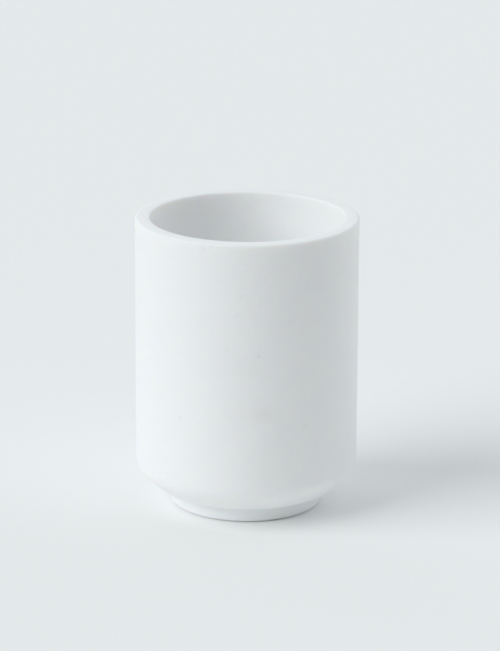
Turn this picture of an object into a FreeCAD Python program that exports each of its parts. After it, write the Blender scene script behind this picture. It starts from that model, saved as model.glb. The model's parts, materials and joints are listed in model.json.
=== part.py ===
"""Pen holder cup: a round stone cup on a recessed foot, with a non-slip pad stuck under it.

Every piece is a body of revolution about Z. Z = 0 is the surface that the cup stands on, and the
origin is the centre of the pad's underside. All sizes are in millimetres.
"""

import FreeCAD, Part

import math
import os

# Driving dimensions of the cup
CUP_DIAMETER = 75.0
CUP_HEIGHT = 99.5
WALL = 5.0

# Foot: a short plinth, set back under the bevel
FOOT_DIAMETER = 51.5
STEP_HEIGHT = 6.6
BEVEL_WIDTH = 7.0
BEVEL_HEIGHT = 6.4
MIN_BASE = 12.5

# Rounding of each edge
RIM_OUTER_ROUND = 0.8
RIM_INNER_ROUND = 0.6
SHOULDER_ROUND = 8.0
STEP_EDGE_ROUND = 0.5
STEP_CORNER_ROUND = 0.8
FOOT_EDGE_ROUND = 1.2
WELL_CORNER_ROUND = 6.0
RECESS_EDGE_ROUND = 0.3

# Non-slip pad and the adhesive film that holds it in the recess under the foot
PAD_DIAMETER = 45.0
PAD_THICKNESS = 2.0
PAD_PROUD = 0.4
PAD_EDGE_ROUND = 0.4
FILM_DIAMETER = 43.0
FILM_THICKNESS = 0.15
RECESS_SIDE_GAP = 0.4

# Worked out from the above
CUP_RADIUS = CUP_DIAMETER / 2
BORE_RADIUS = CUP_RADIUS - WALL
FOOT_RADIUS = FOOT_DIAMETER / 2
STEP_RADIUS = CUP_RADIUS - BEVEL_WIDTH
SHOULDER_HEIGHT = STEP_HEIGHT + BEVEL_HEIGHT
RECESS_RADIUS = PAD_DIAMETER / 2 + RECESS_SIDE_GAP
RECESS_TOP = PAD_THICKNESS + FILM_THICKNESS


def unit(vector):
    """The vector at length 1."""
    return vector * (1.0 / vector.Length)


def rounded_wire(corners):
    """A closed wire in the XZ plane through corners given as (radius, height, rounding)."""
    points = [FreeCAD.Vector(radius, 0, height) for radius, height, _ in corners]
    starts, ends, arcs = [], [], []
    for index, (_, _, rounding) in enumerate(corners):
        corner = points[index]
        back = unit(points[index - 1] - corner)
        ahead = unit(points[(index + 1) % len(points)] - corner)
        if not rounding:
            starts.append(corner)
            ends.append(corner)
            arcs.append(None)
            continue
        half_angle = back.getAngle(ahead) / 2
        run = rounding / math.tan(half_angle)
        inset = rounding / math.sin(half_angle) - rounding
        starts.append(corner + back * run)
        ends.append(corner + ahead * run)
        middle = corner + unit(back + ahead) * inset
        arcs.append(Part.Arc(starts[-1], middle, ends[-1]).toShape())
    edges = []
    for index, arc in enumerate(arcs):
        if arc:
            edges.append(arc)
        following = starts[(index + 1) % len(arcs)]
        edges.append(Part.LineSegment(ends[index], following).toShape())
    return Part.Wire(edges)


def turned(corners):
    """The solid that the closed outline sweeps in one turn about Z."""
    face = Part.Face(rounded_wire(corners))
    return face.revolve(FreeCAD.Vector(0, 0, 0), FreeCAD.Vector(0, 0, 1), 360)


def cup_body():
    """The cup in one piece: foot with its recess, step, bevel, wall, rim, well and base."""
    return turned(
        [
            (0, RECESS_TOP, 0),
            (RECESS_RADIUS, RECESS_TOP, RECESS_EDGE_ROUND),
            (RECESS_RADIUS, PAD_PROUD, RECESS_EDGE_ROUND),
            (FOOT_RADIUS, PAD_PROUD, FOOT_EDGE_ROUND),
            (FOOT_RADIUS, STEP_HEIGHT, STEP_CORNER_ROUND),
            (STEP_RADIUS, STEP_HEIGHT, STEP_EDGE_ROUND),
            (CUP_RADIUS, SHOULDER_HEIGHT, SHOULDER_ROUND),
            (CUP_RADIUS, CUP_HEIGHT, RIM_OUTER_ROUND),
            (BORE_RADIUS, CUP_HEIGHT, RIM_INNER_ROUND),
            (BORE_RADIUS, MIN_BASE, WELL_CORNER_ROUND),
            (0, MIN_BASE, 0),
        ]
    )


def non_slip_pad():
    """A disc that stands a little proud of the foot, so that only the pad touches the desk."""
    radius = PAD_DIAMETER / 2
    return turned(
        [
            (0, 0, 0),
            (radius, 0, PAD_EDGE_ROUND),
            (radius, PAD_THICKNESS, PAD_EDGE_ROUND),
            (0, PAD_THICKNESS, 0),
        ]
    )


def pad_adhesive():
    """The double-sided film between the pad and the roof of the recess."""
    film = Part.makeCylinder(FILM_DIAMETER / 2, FILM_THICKNESS)
    film.translate(FreeCAD.Vector(0, 0, PAD_THICKNESS))
    return film


def main():
    """Writes one STEP file for each piece."""
    os.makedirs("parts", exist_ok=True)
    for make in (cup_body, non_slip_pad, pad_adhesive):
        solid = make()
        if not solid.isValid() or solid.Volume <= 0:
            raise ValueError(make.__name__ + " is not a valid solid")
        solid.exportStep("parts/" + make.__name__ + ".step")
        print(make.__name__, round(solid.Volume / 1000, 2), "cm3")


main()
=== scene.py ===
"""Pen holder cup in honed white stone, standing on a pale studio floor.

Everything is in metres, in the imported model's own frame: Z = 0 is the desk and +Z is the cup's
axis. The cup and its pad are turned from outlines of (radius, height, rounding) corners, and the
adhesive film keeps its CAD mesh.
"""

import json
import math

import bpy
from mathutils import Euler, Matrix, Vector, noise


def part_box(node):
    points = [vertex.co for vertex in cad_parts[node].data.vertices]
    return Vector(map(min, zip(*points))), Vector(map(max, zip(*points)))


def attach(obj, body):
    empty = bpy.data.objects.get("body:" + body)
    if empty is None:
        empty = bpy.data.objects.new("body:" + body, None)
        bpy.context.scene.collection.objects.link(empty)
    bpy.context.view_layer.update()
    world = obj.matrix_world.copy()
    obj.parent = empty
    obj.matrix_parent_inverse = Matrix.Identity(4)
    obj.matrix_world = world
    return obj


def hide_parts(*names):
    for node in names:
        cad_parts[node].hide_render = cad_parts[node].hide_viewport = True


MM = 0.001

# Outline of the cup and the pad, as in the CAD model. make_cup and make_pad take the cup's radius,
# height and bore and the pad's size from the frame.
STEP_HEIGHT = 6.6 * MM
BEVEL_WIDTH = 7.0 * MM
BEVEL_HEIGHT = 6.4 * MM
FOOT_RADIUS = 25.75 * MM
FOOT_BOTTOM = 0.4 * MM
RECESS_RADIUS = 22.9 * MM
RECESS_TOP = 2.15 * MM
RIM_OUTER_ROUND = 0.8 * MM
RIM_INNER_ROUND = 0.6 * MM
SHOULDER_ROUND = 8.0 * MM
STEP_EDGE_ROUND = 0.5 * MM
STEP_CORNER_ROUND = 0.8 * MM
FOOT_EDGE_ROUND = 1.2 * MM
WELL_CORNER_ROUND = 6.0 * MM
RECESS_EDGE_ROUND = 0.3 * MM
PAD_EDGE_ROUND = 0.4 * MM

# Relief of the pad's underside
PEBBLE_SIZE = 0.8 * MM
PEBBLE_DEPTH = 0.06 * MM

# Fineness of the turned meshes
TURN_STEPS = 288
RING_SPACING = 1.3 * MM
ARC_STEP = math.radians(9)
FEWEST_ARC_STEPS = 3

# Camera: the angle and distance of the view, the place that it looks at, and its focal length in mm
CAMERA_ELEVATION = math.radians(16.64)
CAMERA_ROLL = math.radians(0.25)
CAMERA_DISTANCE = 1.125
CAMERA_TARGET = Vector((1.07 * MM, 0, 61.4 * MM))
LENS = 184.7

# Stone: its colours, the size and depth of its markings, its polish and its relief
STONE = (0.89, 0.908, 0.914)
STONE_GREY = (0.67, 0.695, 0.695)
STONE_WARM = (0.83, 0.79, 0.71)
SPECK = (0.30, 0.27, 0.24)
GREY_CLOUD_SIZE = 36 * MM
GREY_CLOUD_DEPTH = 0.16
WARM_CLOUD_SIZE = 22 * MM
WARM_CLOUD_DEPTH = 0.12
WARM_CLOUD_OFFSET = (0.3, 0.1, 0.7)
GRAIN_SIZE = 1.6 * MM
GRAIN_DEPTH = 0.05
SPECK_SPACING = 11 * MM
SPECK_RADIUS = 0.30 * MM
SPECK_CORE = 0.4
SPECK_SHARE = 0.3
SPECK_DEPTH = 0.5
POLISH_SIZE = 9 * MM
STONE_ROUGHNESS = (0.40, 0.50)
STONE_SPECULAR = 0.35
COARSE_HONING_SIZE = 1.1 * MM
FINE_HONING_SIZE = 0.35 * MM
FINE_HONING_SHARE = 0.4
HONING_RELIEF = 0.012 * MM

# How far light goes under the stone's skin, and how red, green and blue differ in that
TRANSLUCENCY = 2.6 * MM
TRANSLUCENCY_BY_COLOUR = (1.0, 0.75, 0.55)

# Pad rubber
RUBBER = (0.30, 0.28, 0.25)
RUBBER_DARK = (0.23, 0.215, 0.19)
RUBBER_DUST = (0.45, 0.43, 0.40)
RUBBER_TONE_SIZE = 6 * MM
DUST_SIZE = 0.5 * MM
DUST_DEPTH = 0.35
RUBBER_WEAR_SIZE = 4 * MM
RUBBER_ROUGHNESS = (0.72, 0.88)
RUBBER_SPECULAR = 0.3
PITTING_SIZE = 0.3 * MM
PITTING_RELIEF = 0.03 * MM

# Adhesive film
FILM_AMBER = (0.80, 0.72, 0.52)
FILM_PALE = (0.88, 0.84, 0.72)
AIR_MARK_SIZE = 3 * MM
FILM_ROUGHNESS = (0.30, 0.45)
FILM_WAVE_SIZE = 1.5 * MM
FILM_WAVE_RELIEF = 0.01 * MM

# Markings put where the real cup has them: warm patches by centre, half-size and depth, and
# specks on the outside wall by azimuth in degrees right of the front, height, radius and depth
WALL_RADIUS = 37.5 * MM
WARM_PATCHES = [
    ((6 * MM, -37 * MM, 41.5 * MM), (5 * MM, 5 * MM, 4 * MM), 0.45),
    ((3 * MM, -37 * MM, 43 * MM), (16 * MM, 12 * MM, 7 * MM), 0.25),
]
PLACED_SPECKS = [
    (6, 62 * MM, 1.1 * MM, 0.25),
    (-36, 38.5 * MM, 1.1 * MM, 0.14),
    (-22, 97.5 * MM, 1.1 * MM, 0.16),
    (-10, 64 * MM, 1.5 * MM, 0.09),
    (31, 36.5 * MM, 1.5 * MM, 0.09),
    (22, 73 * MM, 1.4 * MM, 0.08),
    (-5, 76 * MM, 1.3 * MM, 0.08),
    (-3, 82 * MM, 1.3 * MM, 0.07),
]

# Light and backdrop. The backdrop gives no light: only the camera sees it, as bright as the lit
# floor in front of it, so that no seam shows where the floor ends.
KEY_COLOUR = (0.925, 1.0, 1.03)
FILL_COLOUR = (0.90, 1.0, 1.065)
SUNS = [
    # name, azimuth, elevation and spread in degrees, strength, colour
    ("key", -67, 34.5, 49, 2.245, KEY_COLOUR),
    ("back_fill_right", 126, 20, 80, 0.49, FILL_COLOUR),
    ("back_fill_wide", 155, 32, 124, 0.94, FILL_COLOUR),
    ("back_fill_left", -150, 20, 80, 0.255, FILL_COLOUR),
]
SKY_STRENGTH = 0.04
BACKDROP = (0.5995, 0.660, 0.681)
TONE_GAMMA = 2.0

# Floor
FLOOR_COLOUR = (0.924, 0.93, 0.918)
FLOOR_ROUGHNESS = 0.9
FLOOR_HALF_WIDTH = 0.55
FLOOR_FRONT = -0.45
FLOOR_BACK = 3.0


def arc_points(corner, before, after, rounding):
    """Points along the round that replaces an outline's corner."""
    back = (before - corner).normalized()
    ahead = (after - corner).normalized()
    half_angle = back.angle(ahead) / 2
    run = rounding / math.tan(half_angle)
    start = corner + back * run
    centre = corner + (back + ahead).normalized() * (rounding / math.sin(half_angle))
    turn = math.pi - 2 * half_angle
    steps = max(FEWEST_ARC_STEPS, math.ceil(turn / ARC_STEP))
    arm = start - centre
    sign = 1 if arm.cross(corner + ahead * run - centre) > 0 else -1
    points = []
    for index in range(steps + 1):
        angle = sign * turn * index / steps
        across = arm.x * math.cos(angle) - arm.y * math.sin(angle)
        up = arm.x * math.sin(angle) + arm.y * math.cos(angle)
        points.append(centre + Vector((across, up)))
    return points


def outline_points(corners, spacing):
    """The outline through the corners, with rounds as arcs and long runs divided evenly."""
    places = [Vector((radius, height)) for radius, height, _ in corners]
    points = [places[0]]
    for index in range(1, len(corners)):
        rounding = corners[index][2]
        if rounding:
            stretch = arc_points(places[index], places[index - 1], places[index + 1], rounding)
        else:
            stretch = [places[index]]
        start = points[-1]
        gap = (stretch[0] - start).length
        divisions = max(1, math.ceil(gap / spacing))
        for division in range(1, divisions):
            points.append(start.lerp(stretch[0], division / divisions))
        points.extend(stretch)
    return points


def turned(name, corners, spacing=RING_SPACING):
    """A closed mesh: the outline, which starts and ends on the axis, turned about Z."""
    points = outline_points(corners, spacing)
    vertices = [(0, 0, points[0].y)]
    for point in points[1:-1]:
        for step in range(TURN_STEPS):
            angle = 2 * math.pi * step / TURN_STEPS
            vertices.append((point.x * math.cos(angle), point.x * math.sin(angle), point.y))
    vertices.append((0, 0, points[-1].y))
    rings = len(points) - 2
    faces = []
    for step in range(TURN_STEPS):
        following = (step + 1) % TURN_STEPS
        faces.append((0, 1 + following, 1 + step))
        for ring in range(rings - 1):
            low = 1 + ring * TURN_STEPS
            high = low + TURN_STEPS
            faces.append((low + step, low + following, high + following, high + step))
        last = 1 + (rings - 1) * TURN_STEPS
        faces.append((last + step, last + following, len(vertices) - 1))
    mesh = bpy.data.meshes.new(name)
    mesh.from_pydata(vertices, [], faces)
    mesh.validate()
    mesh.shade_smooth()
    piece = bpy.data.objects.new(name, mesh)
    bpy.context.scene.collection.objects.link(piece)
    return piece


def make_cup(frame):
    """The stone cup, as one turned mesh."""
    _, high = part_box("cup_body")
    bore = next(m for m in frame["record"]["mounts"] if m["name"] == "pen_well")
    bore_radius = bore["dims"]["r_mm"] * MM
    well_floor = bore["pos_m"][2] - bore["dims"]["length_mm"] * MM / 2 - WELL_CORNER_ROUND
    return turned(
        "stone_cup",
        [
            (0, RECESS_TOP, 0),
            (RECESS_RADIUS, RECESS_TOP, RECESS_EDGE_ROUND),
            (RECESS_RADIUS, FOOT_BOTTOM, RECESS_EDGE_ROUND),
            (FOOT_RADIUS, FOOT_BOTTOM, FOOT_EDGE_ROUND),
            (FOOT_RADIUS, STEP_HEIGHT, STEP_CORNER_ROUND),
            (high.x - BEVEL_WIDTH, STEP_HEIGHT, STEP_EDGE_ROUND),
            (high.x, STEP_HEIGHT + BEVEL_HEIGHT, SHOULDER_ROUND),
            (high.x, high.z, RIM_OUTER_ROUND),
            (bore_radius, high.z, RIM_INNER_ROUND),
            (bore_radius, well_floor, WELL_CORNER_ROUND),
            (0, well_floor, 0),
        ],
    )


def make_pad():
    """The non-slip pad, with a finely pebbled underside."""
    low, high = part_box("non_slip_pad")
    pad = turned(
        "pebbled_pad",
        [
            (0, low.z, 0),
            (high.x, low.z, PAD_EDGE_ROUND),
            (high.x, high.z, PAD_EDGE_ROUND),
            (0, high.z, 0),
        ],
        PEBBLE_SIZE / 2,
    )
    for vertex in pad.data.vertices:
        if vertex.co.z < low.z + PAD_EDGE_ROUND:
            pebble = noise.noise(vertex.co / PEBBLE_SIZE) + 0.5
            vertex.co.z += PEBBLE_DEPTH * min(max(pebble, 0.0), 1.0)
    return pad


def fill(tree, socket, value):
    """Links a node's output to the socket, or sets the socket to a plain value."""
    if isinstance(value, bpy.types.NodeSocket):
        tree.links.new(value, socket)
    else:
        socket.default_value = value


def add_node(tree, kind, inputs=None, **settings):
    """A shader node with its settings made and its inputs, by name or number, filled."""
    node = tree.nodes.new("ShaderNode" + kind)
    for name, value in settings.items():
        setattr(node, name, value)
    for key, value in (inputs or {}).items():
        fill(tree, node.inputs[key], value)
    return node


def new_material(name):
    """A material with its node tree, its Principled shader, and the place on the piece."""
    material = bpy.data.materials.new(name)
    material.use_nodes = True
    tree = material.node_tree
    shader = next(n for n in tree.nodes if n.type == "BSDF_PRINCIPLED")
    place = add_node(tree, "TexCoord").outputs["Object"]
    return material, tree, shader, place


def noise_at(tree, place, size, detail=2.0, distortion=0.0, offset=(0, 0, 0)):
    """Noise from 0 to 1 whose features are about as large as size."""
    moved = add_node(tree, "Mapping", {"Vector": place, "Location": offset}).outputs[0]
    inputs = {"Vector": moved, "Scale": 1 / size, "Detail": detail, "Distortion": distortion}
    return add_node(tree, "TexNoise", inputs).outputs["Fac"]


def ramp(tree, value, start, end, low=0.0, high=1.0):
    """The value eased from low at start to high at end."""
    inputs = {"Value": value, "From Min": start, "From Max": end, "To Min": low, "To Max": high}
    return add_node(tree, "MapRange", inputs, interpolation_type="SMOOTHSTEP").outputs["Result"]


def combine(tree, operation, first, second):
    """The two values put together by a Math node."""
    return add_node(tree, "Math", {0: first, 1: second}, operation=operation).outputs[0]


def tint(tree, factor, base, colour):
    """The base colour with as much of another colour over it as the factor says."""
    if not isinstance(base, bpy.types.NodeSocket):
        base = (*base, 1)
    # The Mix node's colours are its inputs 6 and 7 and its output 2.
    inputs = {0: factor, 6: base, 7: (*colour, 1)}
    return add_node(tree, "Mix", inputs, data_type="RGBA").outputs[2]


def spot(tree, place, centre, size):
    """1 at the centre of an ellipsoid and 0 from its surface outwards."""
    shifted = add_node(tree, "VectorMath", {0: place, 1: centre}, operation="SUBTRACT")
    scaled = add_node(tree, "VectorMath", {0: shifted.outputs[0], 1: size}, operation="DIVIDE")
    length = add_node(tree, "VectorMath", {0: scaled.outputs[0]}, operation="LENGTH")
    return ramp(tree, length.outputs["Value"], 1.0, 0.0)


def bump(tree, shader, height, distance):
    """Relief on the shader's surface."""
    node = add_node(tree, "Bump", {"Height": height, "Distance": distance})
    fill(tree, shader.inputs["Normal"], node.outputs["Normal"])


def scattered_specks(tree, place, spacing, radius, share):
    """Small mineral specks in a given share of the cells of a regular scatter."""
    cells = add_node(tree, "TexVoronoi", {"Vector": place, "Scale": 1 / spacing, "Randomness": 1.0})
    reach = radius / spacing
    near = ramp(tree, cells.outputs["Distance"], reach, SPECK_CORE * reach)
    split = add_node(tree, "SeparateColor", {0: cells.outputs["Color"]})
    chosen = ramp(tree, split.outputs[0], 1 - share, 1.0)
    return combine(tree, "MULTIPLY", near, chosen)


def stone_material():
    """Honed white stone: faint clouds, grain, a few specks, and light just under the skin."""
    material, tree, shader, place = new_material("honed_white_stone")
    grey_noise = noise_at(tree, place, GREY_CLOUD_SIZE, detail=3.0, distortion=1.2)
    grey_cloud = ramp(tree, grey_noise, 0.50, 0.78, high=GREY_CLOUD_DEPTH)
    colour = tint(tree, grey_cloud, STONE, STONE_GREY)
    warm_noise = noise_at(tree, place, WARM_CLOUD_SIZE, distortion=0.8, offset=WARM_CLOUD_OFFSET)
    warm_cloud = ramp(tree, warm_noise, 0.55, 0.80, high=WARM_CLOUD_DEPTH)
    colour = tint(tree, warm_cloud, colour, STONE_WARM)
    for centre, size, depth in WARM_PATCHES:
        patch = combine(tree, "MULTIPLY", spot(tree, place, centre, size), depth)
        colour = tint(tree, patch, colour, STONE_WARM)
    grain = ramp(tree, noise_at(tree, place, GRAIN_SIZE, detail=4.0), 0.35, 0.75, high=GRAIN_DEPTH)
    colour = tint(tree, grain, colour, STONE_GREY)
    scatter = scattered_specks(tree, place, SPECK_SPACING, SPECK_RADIUS, SPECK_SHARE)
    colour = tint(tree, combine(tree, "MULTIPLY", scatter, SPECK_DEPTH), colour, SPECK)
    for azimuth, height, radius, depth in PLACED_SPECKS:
        angle = math.radians(azimuth)
        centre = (WALL_RADIUS * math.sin(angle), -WALL_RADIUS * math.cos(angle), height)
        mark = combine(tree, "MULTIPLY", spot(tree, place, centre, (radius,) * 3), depth)
        colour = tint(tree, mark, colour, SPECK)
    fill(tree, shader.inputs["Base Color"], colour)
    polish = noise_at(tree, place, POLISH_SIZE, detail=3.0)
    fill(tree, shader.inputs["Roughness"], ramp(tree, polish, 0.3, 0.7, *STONE_ROUGHNESS))
    coarse = noise_at(tree, place, COARSE_HONING_SIZE, detail=3.0)
    fine = combine(tree, "MULTIPLY", noise_at(tree, place, FINE_HONING_SIZE), FINE_HONING_SHARE)
    bump(tree, shader, combine(tree, "ADD", coarse, fine), HONING_RELIEF)
    shader.inputs["Specular IOR Level"].default_value = STONE_SPECULAR
    shader.inputs["Subsurface Weight"].default_value = 1.0
    shader.inputs["Subsurface Radius"].default_value = TRANSLUCENCY_BY_COLOUR
    shader.inputs["Subsurface Scale"].default_value = TRANSLUCENCY
    return material


def rubber_material():
    """Matte warm-grey rubber with a slightly uneven tone, a little dust and fine pitting."""
    material, tree, shader, place = new_material("pad_rubber")
    tone = ramp(tree, noise_at(tree, place, RUBBER_TONE_SIZE, detail=4.0), 0.35, 0.7)
    colour = tint(tree, tone, RUBBER, RUBBER_DARK)
    dust = ramp(tree, noise_at(tree, place, DUST_SIZE), 0.62, 0.8, high=DUST_DEPTH)
    colour = tint(tree, dust, colour, RUBBER_DUST)
    fill(tree, shader.inputs["Base Color"], colour)
    wear = ramp(tree, noise_at(tree, place, RUBBER_WEAR_SIZE), 0.3, 0.7, *RUBBER_ROUGHNESS)
    fill(tree, shader.inputs["Roughness"], wear)
    bump(tree, shader, noise_at(tree, place, PITTING_SIZE, detail=3.0), PITTING_RELIEF)
    shader.inputs["Specular IOR Level"].default_value = RUBBER_SPECULAR
    return material


def film_material():
    """Pale amber adhesive film with faint cloudy air marks."""
    material, tree, shader, place = new_material("adhesive_film")
    mark_noise = noise_at(tree, place, AIR_MARK_SIZE, detail=3.0, distortion=1.0)
    marks = ramp(tree, mark_noise, 0.45, 0.7)
    fill(tree, shader.inputs["Base Color"], tint(tree, marks, FILM_AMBER, FILM_PALE))
    fill(tree, shader.inputs["Roughness"], ramp(tree, marks, 0.0, 1.0, *FILM_ROUGHNESS))
    bump(tree, shader, noise_at(tree, place, FILM_WAVE_SIZE), FILM_WAVE_RELIEF)
    return material


def floor_material():
    """Matte white studio paper."""
    material, _, shader, _ = new_material("studio_paper")
    shader.inputs["Base Color"].default_value = (*FLOOR_COLOUR, 1)
    shader.inputs["Roughness"].default_value = FLOOR_ROUGHNESS
    shader.inputs["Specular IOR Level"].default_value = 0.0
    return material


def make_floor():
    """A wide strip of studio paper, level with the cup's pad, that runs far back behind the cup."""
    mesh = bpy.data.meshes.new("floor")
    corners = [
        (-FLOOR_HALF_WIDTH, FLOOR_FRONT, 0),
        (FLOOR_HALF_WIDTH, FLOOR_FRONT, 0),
        (FLOOR_HALF_WIDTH, FLOOR_BACK, 0),
        (-FLOOR_HALF_WIDTH, FLOOR_BACK, 0),
    ]
    mesh.from_pydata(corners, [], [(0, 1, 2, 3)])
    floor = bpy.data.objects.new("floor", mesh)
    bpy.context.scene.collection.objects.link(floor)
    mesh.materials.append(floor_material())


def make_suns():
    """Soft lights with no falloff. Azimuth 0 is the camera's side, and 90 degrees its right."""
    for name, azimuth, elevation, spread, strength, colour in SUNS:
        lamp = bpy.data.lights.new(name, "SUN")
        lamp.energy = strength
        lamp.angle = math.radians(spread)
        lamp.color = colour
        sun = bpy.data.objects.new(name, lamp)
        sun.rotation_euler = Euler((math.radians(90 - elevation), 0, math.radians(azimuth)))
        bpy.context.scene.collection.objects.link(sun)


def make_sky():
    """A faint light from all round, and an even pale backdrop behind the floor."""
    world = bpy.data.worlds.new("studio")
    world.use_nodes = True
    tree = world.node_tree
    tree.nodes.clear()
    light = add_node(tree, "Background", {"Color": (*FILL_COLOUR, 1), "Strength": SKY_STRENGTH})
    backdrop = add_node(tree, "Background", {"Color": (*BACKDROP, 1)})
    path = add_node(tree, "LightPath")
    mix = add_node(tree, "MixShader", {"Fac": path.outputs["Is Camera Ray"]})
    tree.links.new(light.outputs[0], mix.inputs[1])
    tree.links.new(backdrop.outputs[0], mix.inputs[2])
    add_node(tree, "OutputWorld", {"Surface": mix.outputs[0]})
    bpy.context.scene.world = world


def make_camera():
    """The camera in front, looking down a little at the cup."""
    data = bpy.data.cameras.new("camera")
    data.lens = LENS
    camera = bpy.data.objects.new("camera", data)
    back = Vector((0, -math.cos(CAMERA_ELEVATION), math.sin(CAMERA_ELEVATION)))
    camera.location = CAMERA_TARGET + back * CAMERA_DISTANCE
    look = (-back).to_track_quat("-Z", "Y").to_matrix()
    roll = Euler((0, 0, CAMERA_ROLL)).to_matrix()
    camera.rotation_euler = (look @ roll).to_euler()
    bpy.context.scene.collection.objects.link(camera)
    bpy.context.scene.camera = camera


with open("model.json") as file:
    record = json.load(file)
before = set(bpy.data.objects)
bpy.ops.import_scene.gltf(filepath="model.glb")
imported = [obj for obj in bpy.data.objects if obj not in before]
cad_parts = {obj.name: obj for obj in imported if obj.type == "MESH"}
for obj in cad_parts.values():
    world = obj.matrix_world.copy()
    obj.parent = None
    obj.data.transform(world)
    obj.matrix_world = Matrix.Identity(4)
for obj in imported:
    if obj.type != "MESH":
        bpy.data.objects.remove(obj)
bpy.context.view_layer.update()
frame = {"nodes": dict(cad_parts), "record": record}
bpy.context.scene.view_settings.view_transform = "Standard"
bpy.context.scene.view_settings.gamma = TONE_GAMMA

cup = make_cup(frame)
cup.data.materials.append(stone_material())
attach(cup, "root")
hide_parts("cup_body")

pad = make_pad()
pad.data.materials.append(rubber_material())
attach(pad, "root")
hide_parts("non_slip_pad")

film = frame["nodes"]["pad_adhesive"]
film.data.materials.clear()
film.data.materials.append(film_material())

make_floor()
make_sky()
make_suns()
make_camera()
